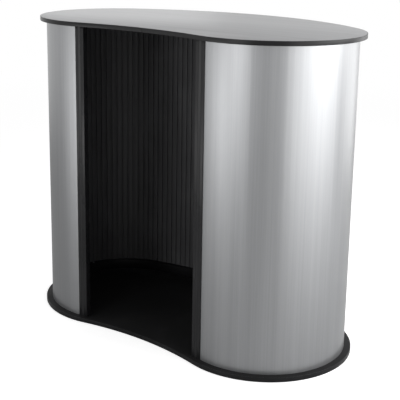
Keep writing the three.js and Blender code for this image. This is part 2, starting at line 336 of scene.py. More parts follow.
class Workpiece:
    """One piece on the bench: a mesh object and the strokes that shape it."""

    def __init__(self, name: str, stock: Stock, size: Iterable[float], place: Iterable[float],
                 sides: int = 32):
        """Starts a piece from its stock.

        Args:
            name: the piece's name.
            stock: what it is started from.
            size: width, depth and height; a round's width is its radius, an upright or a point has a
                height alone.
            place: the stock's middle; an upright's or a point's foot.
            sides: how many sides a round has.
        """
        clear_selection()
        width, depth, height = size
        spot = Vector(tuple(place))
        if stock is Stock.BLOCK:
            bpy.ops.mesh.primitive_cube_add(size=1, location=spot, scale=(width, depth, height))
        elif stock is Stock.ROUND:
            bpy.ops.mesh.primitive_cylinder_add(vertices=sides, radius=width, depth=height, location=spot)
        else:
            middle = spot + Vector((height / 2, 0, height / 2))
            bpy.ops.mesh.primitive_plane_add(size=height, location=middle, rotation=(math.pi / 2, 0, 0))
        bpy.ops.object.transform_apply(location=True, rotation=True, scale=True)
        self.thing = bpy.context.object
        self.thing.name = self.thing.data.name = name
        if stock in (Stock.UPRIGHT, Stock.POINT):
            foot = spot.z + height / 2
            keep_low = stock is Stock.POINT
            self.pick(lambda at: at.x > spot.x + height / 2 or (keep_low and at.z > foot))
            bpy.ops.mesh.delete(type="VERT")
            self.pick_all()

    @property
    def name(self) -> str:
        """The piece's name."""
        return self.thing.name

    def edit(self, part: Part) -> None:
        """Takes the piece into edit mode.

        Args:
            part: what is selected there.
        """
        if bpy.context.object is not self.thing or bpy.context.mode != "EDIT_MESH":
            self.rest()
            bpy.ops.object.mode_set(mode="EDIT")
        bpy.ops.mesh.select_mode(type=part.value)

    def rest(self) -> None:
        """Takes the piece back to object mode, as the only thing selected."""
        clear_selection()
        self.thing.select_set(True)
        bpy.context.view_layer.objects.active = self.thing

    def pick(self, test: Callable[[Vector], bool]) -> None:
        """Selects corners.

        Args:
            test: tells from a corner's place.
        """
        self.edit(Part.CORNER)
        mesh = bmesh.from_edit_mesh(self.thing.data)
        for corner in mesh.verts:
            corner.select = test(corner.co)
        mesh.select_flush_mode()
        bmesh.update_edit_mesh(self.thing.data)

    def pick_all(self) -> None:
        """Selects every corner."""
        self.pick(lambda at: True)

    def pick_edges(self, test: Callable[[Vector, Vector], bool]) -> None:
        """Selects edges.

        Args:
            test: tells from the places of an edge's ends.
        """
        self.edit(Part.EDGE)
        mesh = bmesh.from_edit_mesh(self.thing.data)
        for edge in mesh.edges:
            edge.select = False
        for edge in mesh.edges:
            if test(edge.verts[0].co, edge.verts[1].co):
                edge.select = True
        bmesh.update_edit_mesh(self.thing.data)

    def draw_out(self, way: Iterable[float]) -> None:
        """Extrudes what is selected and moves it."""
        bpy.ops.mesh.extrude_region_move(TRANSFORM_OT_translate={"value": tuple(way)})

    def narrow(self, share: float, share_y: Optional[float] = None) -> None:
        """Scales what is selected to a share of its width, and of its depth where that differs."""
        bpy.ops.transform.resize(value=(share, share if share_y is None else share_y, 1))

    def follow(self, run: Run) -> None:
        """Spins what is selected along a run."""
        for turn in run.turns:
            bpy.ops.mesh.spin(steps=turn.steps, angle=-turn.angle, center=(*turn.middle, 0), axis=(0, 0, 1))

    def straighten(self) -> None:
        """Merges doubled corners and turns every face outwards."""
        self.pick_all()
        bpy.ops.mesh.remove_doubles(threshold=DOUBLED)
        bpy.ops.mesh.normals_make_consistent(inside=False)
        self.rest()

    def bevel(self, width: float, segments: int = 2) -> None:
        """Bevels the selected edges."""
        bpy.ops.mesh.bevel(offset=width, segments=segments, profile=0.5, affect="EDGES")

    def finish_with(self, kind: str, **settings: Any) -> None:
        """Adds a modifier and applies it.

        Args:
            kind: the modifier's type.
            settings: its settings by name.
        """
        self.rest()
        modifier = self.thing.modifiers.new(kind.title(), kind)
        for key, value in settings.items():
            setattr(modifier, key, value)
        bpy.ops.object.modifier_apply(modifier=modifier.name)

    def ease(self, width: float, segments: int = 2, angle: float = 50) -> None:
        """Rounds every edge of the piece that is sharper than an angle."""
        self.finish_with("BEVEL", width=width, segments=segments, limit_method="ANGLE",
                         angle_limit=math.radians(angle))

    def thicken(self, thickness: float, out: bool) -> None:
        """Gives a wall its thickness, outwards or inwards of where it was drawn."""
        self.finish_with("SOLIDIFY", thickness=thickness, offset=1 if out else -1, use_even_offset=True)

    def cut(self, cutters: list["Workpiece"]) -> None:
        """Cuts with other pieces and throws them away.

        Args:
            cutters: what is taken out.
        """
        for cutter in cutters:
            cutter.rest()
            self.finish_with("BOOLEAN", operation="DIFFERENCE", solver="EXACT", object=cutter.thing)
            bpy.data.objects.remove(cutter.thing, do_unlink=True)

    def place(self, matrix: Matrix) -> None:
        """Moves the whole mesh, with the object left at the origin.

        Args:
            matrix: where it goes.
        """
        self.rest()
        self.thing.data.transform(matrix)
        self.thing.data.update()

    def smooth(self, angle: float = 35) -> None:
        """Shades the piece smooth but for its sharp edges."""
        self.rest()
        bpy.ops.object.shade_smooth_by_angle(angle=math.radians(angle))

    def twin(self, name: str, matrix: Matrix) -> "Workpiece":
        """A copy with its own mesh, moved by a matrix.

        Args:
            name: the copy's name.
            matrix: where it goes from the first one's place.

        Returns:
            The copy.
        """
        self.rest()
        other = Workpiece.__new__(Workpiece)
        other.thing = self.thing.copy()
        other.thing.data = self.thing.data.copy()
        other.thing.name = other.thing.data.name = name
        bpy.context.scene.collection.objects.link(other.thing)
        other.place(matrix)
        return other

    def take_in(self, others: list["Workpiece"]) -> None:
        """Joins other pieces into this one.

        Args:
            others: the pieces.
        """
        self.rest()
        for other in others:
            other.thing.select_set(True)
        bpy.ops.object.join()


def clear_selection() -> None:
    """Leaves edit mode and deselects everything."""
    if bpy.context.mode != "OBJECT":
        bpy.ops.object.mode_set(mode="OBJECT")
    bpy.ops.object.select_all(action="DESELECT")


def shift(x: float, y: float, z: float = 0.0) -> Matrix:
    """A move without a turn."""
    return Matrix.Translation((x, y, z))


def frame_of(x_axis: Vector, y_axis: Vector, z_axis: Vector) -> Matrix:
    """The turn that takes the world's axes to three others."""
    return Matrix((x_axis, y_axis, z_axis)).transposed().to_4x4()


def upright(one: Vector, other: Vector) -> bool:
    """Tells whether an edge of a tall piece runs up it, from the edge's ends."""
    return abs(one.z - other.z) > TALL


def countersunk(name: str, radius: float, depth: float, share: float) -> Workpiece:
    """A round head that narrows downwards, its face at height nought and its foot selected.

    Args:
        name: the piece's name.
        radius: radius of its face.
        depth: how deep it is.
        share: radius of its foot as a share of its face's.

    Returns:
        The head.
    """
    piece = Workpiece(name, Stock.ROUND, (radius, 0, depth), (0, 0, -depth / 2), SCREW_SIDES)
    piece.pick(lambda at: at.z < -depth / 2)
    piece.narrow(share)
    return piece


def wall(name: str, run: Run, foot: float, head: float) -> Workpiece:
    """An upright sheet along a run, its faces towards the outside.

    Args:
        name: the piece's name.
        run: the run it follows.
        foot: its lower height.
        head: its upper height.

    Returns:
        The sheet, one face thick.
    """
    piece = Workpiece(name, Stock.UPRIGHT, (0, 0, head - foot), (*run.start, foot))
    piece.follow(run)
    face_outwards(piece, run.turns[1 if len(run.turns) > 3 else 0].middle)
    return piece


def face_outwards(piece: Workpiece, middle: Point) -> None:
    """Flips a sheet if its faces look towards a middle near it.

    Args:
        piece: the sheet.
        middle: the middle of the arc that its nearest part follows.
    """
    piece.rest()
    arms = [(face.center.xy - Vector(middle), face.normal.xy) for face in piece.thing.data.polygons]
    arm, normal = min(arms, key=lambda pair: pair[0].length)
    if arm.dot(normal) < 0:
        piece.pick_all()
        bpy.ops.mesh.flip_normals()
        piece.rest()


def sheet(name: str, run: Run, foot: float, thickness: float, ease: float) -> Workpiece:
    """A flat sheet with a kidney outline and an eased upper edge.

    Args:
        name: the piece's name.
        run: its outline, closed.
        foot: its lower height.
        thickness: how thick it is.
        ease: how much its upper edge is rounded.

    Returns:
        The sheet.
    """
    piece = Workpiece(name, Stock.POINT, (0, 0, thickness), (*run.start, foot))
    piece.follow(run)
    piece.pick_all()
    bpy.ops.mesh.remove_doubles(threshold=NEAR)
    piece.pick_all()
    bpy.ops.mesh.edge_face_add()
    piece.draw_out((0, 0, thickness))
    piece.straighten()
    head = foot + thickness - NEAR
    piece.pick_edges(lambda a, b: a.z > head and b.z > head)
    piece.bevel(ease)
    piece.smooth()
    return piece


# Shader maths


class Value:
    """A node's output that plain arithmetic works on."""

    def __init__(self, graph: "Graph", socket: bpy.types.NodeSocket):
        """Wraps a socket of a graph."""
        self.graph = graph
        self.socket = socket

    def _with(self, operation: str, *terms: Number) -> "Value":
        """A Math node on some terms."""
        return self.graph.node("ShaderNodeMath", {"operation": operation}, dict(enumerate(terms)))

    def __add__(self, other: Number) -> "Value":
        """Sum."""
        return self._with("ADD", self, other)

    __radd__ = __add__

    def __mul__(self, other: Number) -> "Value":
        """Product."""
        return self._with("MULTIPLY", self, other)

    __rmul__ = __mul__

    def most(self, other: Number) -> "Value":
        """The larger of two."""
        return self._with("MAXIMUM", self, other)


class Graph:
    """The nodes of one material or of the world."""

    def __init__(self, tree: bpy.types.NodeTree):
        """Empties a node tree for use."""
        self.tree = tree
        tree.nodes.clear()

    def node(self, kind: str, settings: Optional[dict[str, Any]] = None,
             sockets: Optional[dict[Union[str, int], Any]] = None, out: Union[str, int] = 0) -> Value:
        """Adds a node.

        Args:
            kind: the node's type.
            settings: properties that are set first.
            sockets: values or links of its sockets, by name or number.
            out: the output that is handed back.

        Returns:
            The output, wrapped.
        """
        made = self.tree.nodes.new(kind)
        for key, value in (settings or {}).items():
            setattr(made, key, value)
        for key, value in (sockets or {}).items():
            if isinstance(value, Value):
                self.tree.links.new(value.socket, made.inputs[key])
            else:
                made.inputs[key].default_value = value
        return Value(self, made.outputs[out]) if made.outputs else Value(self, None)

    def pattern(self, scale: tuple[float, float, float], detail: float = 3.0, rough: float = 0.5) -> Value:
        """Noise on Object coordinates.

        Args:
            scale: cells a metre along each axis.
            detail: how many finer noises lie on it.
            rough: how strong those are.

        Returns:
            The noise.
        """
        place = self.node("ShaderNodeTexCoord", out="Object")
        mapped = self.node("ShaderNodeMapping", {}, {"Vector": place, "Scale": scale})
        return self.node("ShaderNodeTexNoise", {"noise_dimensions": "3D"},
                         {"Vector": mapped, "Scale": 1.0, "Detail": detail, "Roughness": rough})

    def ramp(self, value: Value, low: float, high: float) -> Value:
        """Nought below one level and one above another, smooth between."""
        return self.node("ShaderNodeMapRange", {"interpolation_type": "SMOOTHSTEP"},
                         {"Value": value, "From Min": low, "From Max": high})

    def blend(self, amount: Number, dark: tuple[float, ...], light: tuple[float, ...]) -> Value:
        """A colour between two."""
        return self.node("ShaderNodeMix", {"data_type": "RGBA"},
                         {"Factor": amount, 6: (*dark, 1), 7: (*light, 1)}, out=2)

    def bump(self, height: Value, distance: float) -> Value:
        """A normal from heights, in metres for a height of one."""
        sockets = {"Height": height, "Distance": distance, "Strength": 1.0}
        return self.node("ShaderNodeBump", {}, sockets, out="Normal")


# Finishes


@dataclass(frozen=True)
class Finish:
    """A finish: a material with its slot in the record."""

    name: str
    slot: str

    def material(self) -> bpy.types.Material:
        """Makes the finish's material the first time it is asked for.

        Returns:
            The material, the same one at every call.
        """
        known = bpy.data.materials.get(self.name)
        if known:
            return known
        made = bpy.data.materials.new(self.name)
        made.use_nodes = True
        graph = Graph(made.node_tree)
        shader = graph.node("ShaderNodeBsdfPrincipled", {}, self.surface(graph))
        graph.node("ShaderNodeOutputMaterial", {}, {"Surface": shader})
        return made

    def surface(self, graph: Graph) -> dict[str, Any]:
        """Values and links of the surface shader's sockets."""
        raise NotImplementedError


@dataclass(frozen=True)
class BrushedLaminate(Finish):
    """Grey metallic laminate, brushed along the counter."""

    dark: tuple[float, ...] = (0.325, 0.327, 0.335)
    light: tuple[float, ...] = (0.428, 0.431, 0.440)

    def surface(self, graph: Graph) -> dict[str, Any]:
        """Long streaks in tone, roughness and height.

        Args:
            graph: the material's graph.

        Returns:
            What the shader's sockets get.
        """
        bands = graph.pattern((1.1, 26, 1), 4)
        streaks = graph.pattern((3.5, 190, 1), 4, 0.6)
        hairs = graph.pattern((14, 1100, 1), 2)
        tone = graph.ramp(bands * 0.45 + streaks * 0.4 + hairs * 0.15, 0.34, 0.66)
        return {
            "Base Color": graph.blend(tone, self.dark, self.light),
            "Metallic": 0.45,
            "Roughness": 0.36 + tone * 0.08 + hairs * 0.06,
            "Normal": graph.bump(streaks * 0.6 + hairs * 0.4, 0.00004),
        }


@dataclass(frozen=True)
class SilverFacing(Finish):
    """Silver metal foil, brushed up and down the wrap."""

    dark: tuple[float, ...] = (0.276, 0.280, 0.287)
    light: tuple[float, ...] = (0.320, 0.324, 0.331)

    def surface(self, graph: Graph) -> dict[str, Any]:
        """Fine upright lines in tone, roughness and height.

        Args:
            graph: the material's graph.

        Returns:
            What the shader's sockets get.
        """
        bands = graph.pattern((34, 34, 0.25), 3)
        lines = graph.pattern((210, 210, 0.9), 4, 0.6)
        hairs = graph.pattern((1300, 1300, 9), 2)
        tone = graph.ramp(bands * 0.35 + lines * 0.4 + hairs * 0.25, 0.3, 0.7)
        return {
            "Base Color": graph.blend(tone, self.dark, self.light),
            "Metallic": 0.85,
            "Roughness": 0.31 + hairs * 0.07 + bands * 0.06,
            "Normal": graph.bump(lines * 0.5 + hairs * 0.5, 0.00002),
        }


@dataclass(frozen=True)
class BlackSatin(Finish):
    """Black board, lacquer, coating or plastic, told apart by its grain and gloss."""

    tone: tuple[float, ...] = (0.0050, 0.0050, 0.0055)
    worn: tuple[float, ...] = (0.0120, 0.0120, 0.0130)
    gloss: float = 0.3
    shine: float = 0.25
    grain: tuple[float, float, float] = (900, 900, 900)
    depth: float = 0.00003
    haze: float = 0.10

    def surface(self, graph: Graph) -> dict[str, Any]:
        """A fine grain with uneven haze over it.

        Args:
            graph: the material's graph.

        Returns:
            What the shader's sockets get.
        """
        grain = graph.pattern(self.grain, 3, 0.6)
        cloud = graph.pattern((9, 9, 4), 4, 0.6)
        haze = graph.ramp(cloud, 0.42, 0.7)
        return {
            "Base Color": graph.blend(haze * 0.6 + grain * 0.4, self.tone, self.worn),
            "Roughness": self.gloss + haze * self.haze + grain * 0.06,
            "Specular IOR Level": self.shine,
            "Normal": graph.bump(grain, self.depth),
        }


@dataclass(frozen=True)
class RawBoard(Finish):
    """Raw fibreboard with chips and fibres."""

    dark: tuple[float, ...] = (0.30, 0.20, 0.115)
    light: tuple[float, ...] = (0.50, 0.37, 0.23)

    def surface(self, graph: Graph) -> dict[str, Any]:
        """Mottled fibres with a rough face.

        Args:
            graph: the material's graph.

        Returns:
            What the shader's sockets get.
        """
        chips = graph.pattern((160, 160, 420), 4, 0.7)
        fibres = graph.pattern((900, 900, 2600), 3, 0.6)
        tone = graph.ramp(chips * 0.6 + fibres * 0.4, 0.32, 0.68)
        return {
            "Base Color": graph.blend(tone, self.dark, self.light),
            "Roughness": 0.78 + fibres * 0.14,
            "Normal": graph.bump(fibres * 0.6 + chips * 0.4, 0.0002),
        }


@dataclass(frozen=True)
class ZincSteel(Finish):
    """Zinc-plated steel of the screws, bolts and pins."""

    dark: tuple[float, ...] = (0.36, 0.365, 0.37)
    light: tuple[float, ...] = (0.56, 0.565, 0.58)

    def surface(self, graph: Graph) -> dict[str, Any]:
        """Cloudy plating with fine turning marks.

        Args:
            graph: the material's graph.

        Returns:
            What the shader's sockets get.
        """
        cloud = graph.pattern((260, 260, 260), 3, 0.6)
        marks = graph.pattern((300, 300, 4200), 2)
        return {
            "Base Color": graph.blend(graph.ramp(cloud, 0.35, 0.65), self.dark, self.light),
            "Metallic": 1.0,
            "Roughness": 0.28 + cloud * 0.16,
            "Normal": graph.bump(marks, 0.00002),
        }


class Finishes:
    """Every finish of the counter."""

    worktop = BrushedLaminate("grey_brushed_laminate", "brushed_laminate")
    facing = SilverFacing("silver_facing", "tambour_facing")
    deck = BlackSatin("black_deck_laminate", "black_laminate", tone=(0.0160, 0.0160, 0.0165),
                      worn=(0.0240, 0.0240, 0.0250), gloss=0.46, shine=0.05, depth=0.00002)
    band = BlackSatin("black_edge_band", "edge_band", gloss=0.28, shine=0.2, grain=(40, 40, 1500),
                      depth=0.00002)
    slats = BlackSatin("black_slats", "tambour_board", tone=(0.072, 0.072, 0.075),
                       worn=(0.120, 0.120, 0.125), gloss=0.46, shine=0.35, grain=(700, 700, 6),
                       depth=0.00004)
    rail = BlackSatin("black_rail", "guide_rail", gloss=0.42, shine=0.12, grain=(120, 120, 900),
                      depth=0.00005)
    post = BlackSatin("black_post", "post", tone=(0.009, 0.009, 0.010), worn=(0.017, 0.017, 0.018),
                      gloss=0.24, grain=(1100, 1100, 5), depth=0.00002)
    core = RawBoard("raw_board", "core_board")
    steel = ZincSteel("zinc_steel", "steel")
    pad = BlackSatin("matt_rubber", "pad", tone=(0.020, 0.020, 0.020), worn=(0.045, 0.044, 0.043),
                     gloss=0.72, grain=(1600, 1600, 1600), depth=0.0001)


# Sub-assemblies


@dataclass
class Assembly:
    """A sub-assembly that hangs its pieces on one CAD body."""

    body: str

    def hang(self, piece: Workpiece, finish: Finish, node: str = "") -> None:
        """Dresses a piece, hangs it on the body and reports it.

        Args:
            piece: the piece.
            finish: its finish.
            node: the CAD node that it stands for, if any.
        """
        piece.rest()
        piece.thing.data.materials.clear()
        piece.thing.data.materials.append(finish.material())
        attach(piece.thing, self.body)
        if node:
            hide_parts(node)
        log.info("%s on %s: %d faces", piece.name, self.body, len(piece.thing.data.polygons))

    def hang_row(self, first: Workpiece, seats: list[Matrix], finish: Finish, node: str) -> None:
        """Hangs a piece and its copies, numbered from 1.

        Args:
            first: the piece round the origin, its name ending in 1.
            seats: where each goes.
            finish: the finish of all.
            node: what the names of their CAD nodes start with.
        """
        for number, seat in enumerate(seats[1:], 2):
            self.hang(first.twin(f"{first.name[:-1]}{number}", seat), finish, f"{node}_{number}")
        first.place(seats[0])
        self.hang(first, finish, f"{node}_1")

    def dress(self, node: str, finish: Finish) -> None:
        """Gives a CAD node that stays a better material.

        Args:
            node: the node.
            finish: its finish.
        """
        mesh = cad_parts[node].data
        mesh.materials.clear()
        mesh.materials.append(finish.material())
        log.info("%s dressed in %s", node, finish.name)


@dataclass
class Panel(Assembly):
    """A kidney-shaped panel with its edge band; the base and the worktop are made of one each."""

    foot: float = HEIGHTS.pad
    face: Finish = Finishes.deck
    band_thickness: float = 0.0015
    seam: float = 0.0005
    round_over: float = 0.0005
    face_ease: float = 0.00025
    hole_depth: float = 0.01
    holes: tuple[tuple[Vector, float], ...] = ()

    def build(self) -> None:
        """Builds the face laminate and the edge band, and dresses the layers under them."""
        glue = HEIGHTS.glue
        outline = PLAN.outline(self.band_thickness + glue)
        top = self.foot + HEIGHTS.panel - HEIGHTS.laminate
        laminate = sheet(f"{self.body}_face_sheet", outline, top, HEIGHTS.laminate, self.face_ease)
        if self.holes:
            laminate.cut([
                Workpiece("hole", Stock.ROUND, (radius, 0, self.hole_depth), (*place.xy, top), HOLE_SIDES)
                for place, radius in self.holes
            ])
            laminate.smooth(30)
        self.hang(laminate, self.face, f"{self.body}_laminate")
        band = wall(f"{self.body}_band", PLAN.outline(0, self.seam), self.foot, self.foot + HEIGHTS.panel)
        band.thicken(self.band_thickness, out=False)
        band.ease(self.round_over, 3, 60)
        band.smooth(30)
        self.hang(band, Finishes.band, f"{self.body}_edge_band")
        self.dress(f"{self.body}_core", Finishes.core)
        self.dress(f"{self.body}_backer", Finishes.deck)


@dataclass
class Rail(Assembly):
    """A guide rail with its countersunk screws; the upper one is the lower one turned over."""

    face: float = HEIGHTS.base_top + HEIGHTS.glue
    up: bool = True
    inset: float = 0.0085
    thickness: float = 0.0155
    height: float = 0.034
    end_gap: float = 0.002
    edge: float = 0.0004
    screws: int = 6
    screw_margin: float = 0.060
    sink_rise: float = 0.002
    shank: float = 0.002
    head: float = 0.004
    head_depth: float = 0.0022
    length: float = 0.043
    tip: float = 0.003
    tip_share: float = 0.4
    screw_edge: float = 0.00015
    recess: tuple[float, float, float] = (0.0044, 0.0009, 0.003)
    taper: float = 0.55
    turn_step: float = 0.7
    line_pitch: float = 0.001

    def line(self, inset: float) -> Run:
        """The rail's line, drawn in from the wrap's outside."""
        return PLAN.wrap(inset, *PLAN.angles(self.end_gap, PLAN.wrap_radius - self.inset))

    def screw_places(self) -> list[Vector]:
        """Spaces the screws along the rail's middle.

        Returns:
            Their places in plan.
        """
        middle = self.line(self.inset + self.thickness / 2)
        fine = points_along(middle, self.line_pitch)
        margin = self.screw_margin / self.line_pitch
        step = (len(fine) - 1 - 2 * margin) / (self.screws - 1)
        return [fine[round(margin + step * index)] for index in range(self.screws)]

    def stand(self) -> Matrix:
        """Move that stands what was made at height nought on the rail, or hangs it under it."""
        way, flip = (1, Matrix.Identity(4)) if self.up else (-1, Matrix.Rotation(math.pi, 4, "X"))
        return shift(0, 0, self.face + way * self.height) @ flip

    def screw(self, name: str) -> Workpiece:
        """A countersunk screw with a cross recess.

        Args:
            name: its name.

        Returns:
            The screw, its head's face at height nought.
        """
        piece = countersunk(name, self.head, self.head_depth, self.shank / self.head)
        piece.draw_out((0, 0, self.head_depth + self.tip - self.length))
        piece.draw_out((0, 0, -self.tip))
        piece.narrow(self.tip_share)
        piece.straighten()
        long, wide, deep = self.recess
        cross = ((long, wide, deep), (wide, long, deep))
        arms = [Workpiece("arm", Stock.BLOCK, size, (0, 0, 0)) for size in cross]
        for arm in arms:
            arm.pick(lambda at: at.z < 0)
            arm.narrow(self.taper)
            arm.rest()
        piece.cut(arms)
        piece.ease(self.screw_edge)
        piece.smooth()
        return piece

    def build(self) -> None:
        """Builds the rail and drives its screws."""
        foot, head = (self.face, self.face + self.height) if self.up else (self.face - self.height, self.face)
        rail = wall(f"{self.body}_rail", self.line(self.inset), foot, head)
        rail.thicken(self.thickness, out=False)
        rail.ease(self.edge, angle=60)
        seats = [shift(*place.xy) @ self.stand() for place in self.screw_places()]
        sinks = []
        for seat in seats:
            sink = countersunk("sink", self.head + HEIGHTS.fit, self.head_depth, self.taper)
            sink.draw_out((0, 0, -self.height))
            sink.pick(lambda at: at.z > -DOUBLED)
            sink.draw_out((0, 0, self.sink_rise))
            sink.straighten()
            sink.place(seat)
            sinks.append(sink)
        rail.cut(sinks)
        rail.straighten()
        rail.smooth(30)
        self.hang(rail, Finishes.rail, f"{self.body}_guide_rail")
        twisted = [seat @ Matrix.Rotation(self.turn_step * number, 4, "Z")
                   for number, seat in enumerate(seats[1:], 2)]
        screw = self.screw(f"{self.body}_screw_1")
        self.hang_row(screw, seats[:1] + twisted, Finishes.steel, f"{self.body}_rail_screw")


@dataclass
class Wrap(Assembly):
    """The kerf-cut tambour board and the metal facing glued to it."""

    thickness: float = 0.007
    web: float = 0.0012
    facing: float = 0.0008
    kerf_mouth: float = 0.003
    kerf_floor: float = 0.0014
    slat_round: float = 0.0003
    crease: float = 0.0042
    end_clear: float = 0.001

    def points(self) -> list[Vector]:
        """Kerf lines on the board's outer face.

        Returns:
            Their points in plan, from the right end to the left end.
        """
        inset = self.facing + HEIGHTS.glue
        angles = PLAN.angles(-PLAN.post_slot, PLAN.wrap_radius - inset)
        return points_along(PLAN.wrap(inset, *angles), PLAN.slat_pitch)

    def skin(self, name: str, out: float) -> Workpiece:
        """An upright sheet that is flat on every slat and softly creased at every kerf.

        Args:
            name: the piece's name.
            out: how far it lies outside the board's outer face.

        Returns:
            The sheet, one face thick, its faces outwards.
        """
        line = self.points()
        line = [point + outward(line, index) * out for index, point in enumerate(line)]
        foot, head = HEIGHTS.stand_foot, HEIGHTS.stand_head
        piece = Workpiece(name, Stock.UPRIGHT, (0, 0, head - foot), (*line[0].xy, foot))
        for start, end in zip(line, line[1:]):
            piece.draw_out(end - start)
        ends = (line[0].xy, line[-1].xy)
        piece.pick_edges(lambda a, b: upright(a, b)
                         and all((a.xy - end).length > self.end_clear for end in ends))
        piece.bevel(self.crease, 2)
        face_outwards(piece, (PLAN.lobe_x, PLAN.lobe_y))
        return piece

    def slat(self) -> Workpiece:
        """Makes one slat.

        Returns:
            The slat round the origin, its back at y nought and its face towards -Y.
        """
        pitch, deep = PLAN.slat_pitch, self.thickness - self.web
        foot, head = HEIGHTS.stand_foot, HEIGHTS.stand_head
        width = pitch - self.kerf_floor
        middle = (0, -deep / 2, (foot + head) / 2)
        piece = Workpiece("wrap_slats", Stock.BLOCK, (width, deep, head - foot), middle)
        piece.pick(lambda at: at.y < -deep / 2)
        piece.narrow((pitch - self.kerf_mouth) / width, 1)
        piece.pick_edges(lambda a, b: a.y < -deep / 2 and b.y < -deep / 2 and upright(a, b))
        piece.bevel(self.slat_round, 3)
        piece.rest()
        return piece

    def build(self) -> None:
        """Builds the facing, the web and the slats."""
        facing = self.skin("wrap_facing", HEIGHTS.glue)
        facing.thicken(self.facing, out=True)
        facing.smooth(30)
        self.hang(facing, Finishes.facing, "tambour_facing")
        web = self.skin("wrap_web", 0)
        web.thicken(self.web, out=False)
        web.smooth(30)
        self.hang(web, Finishes.slats, "tambour_board")
        line = self.points()
        first = self.slat()
        copies = []
        for index, (start, end) in enumerate(zip(line, line[1:])):
            along = (end - start).normalized()
            inward = Vector((-along.y, along.x, 0))
            middle = (start + end) / 2 + inward * self.web
            turn = frame_of(-along, -inward, Vector((0, 0, 1)))
            copies.append(first.twin(f"slat_{index}", shift(*middle) @ turn))
        bpy.data.objects.remove(first.thing, do_unlink=True)
        slats = copies[0]
        slats.take_in(copies[1:])
        slats.thing.name = slats.thing.data.name = "wrap_slats"
        slats.smooth(30)
        self.hang(slats, Finishes.slats)


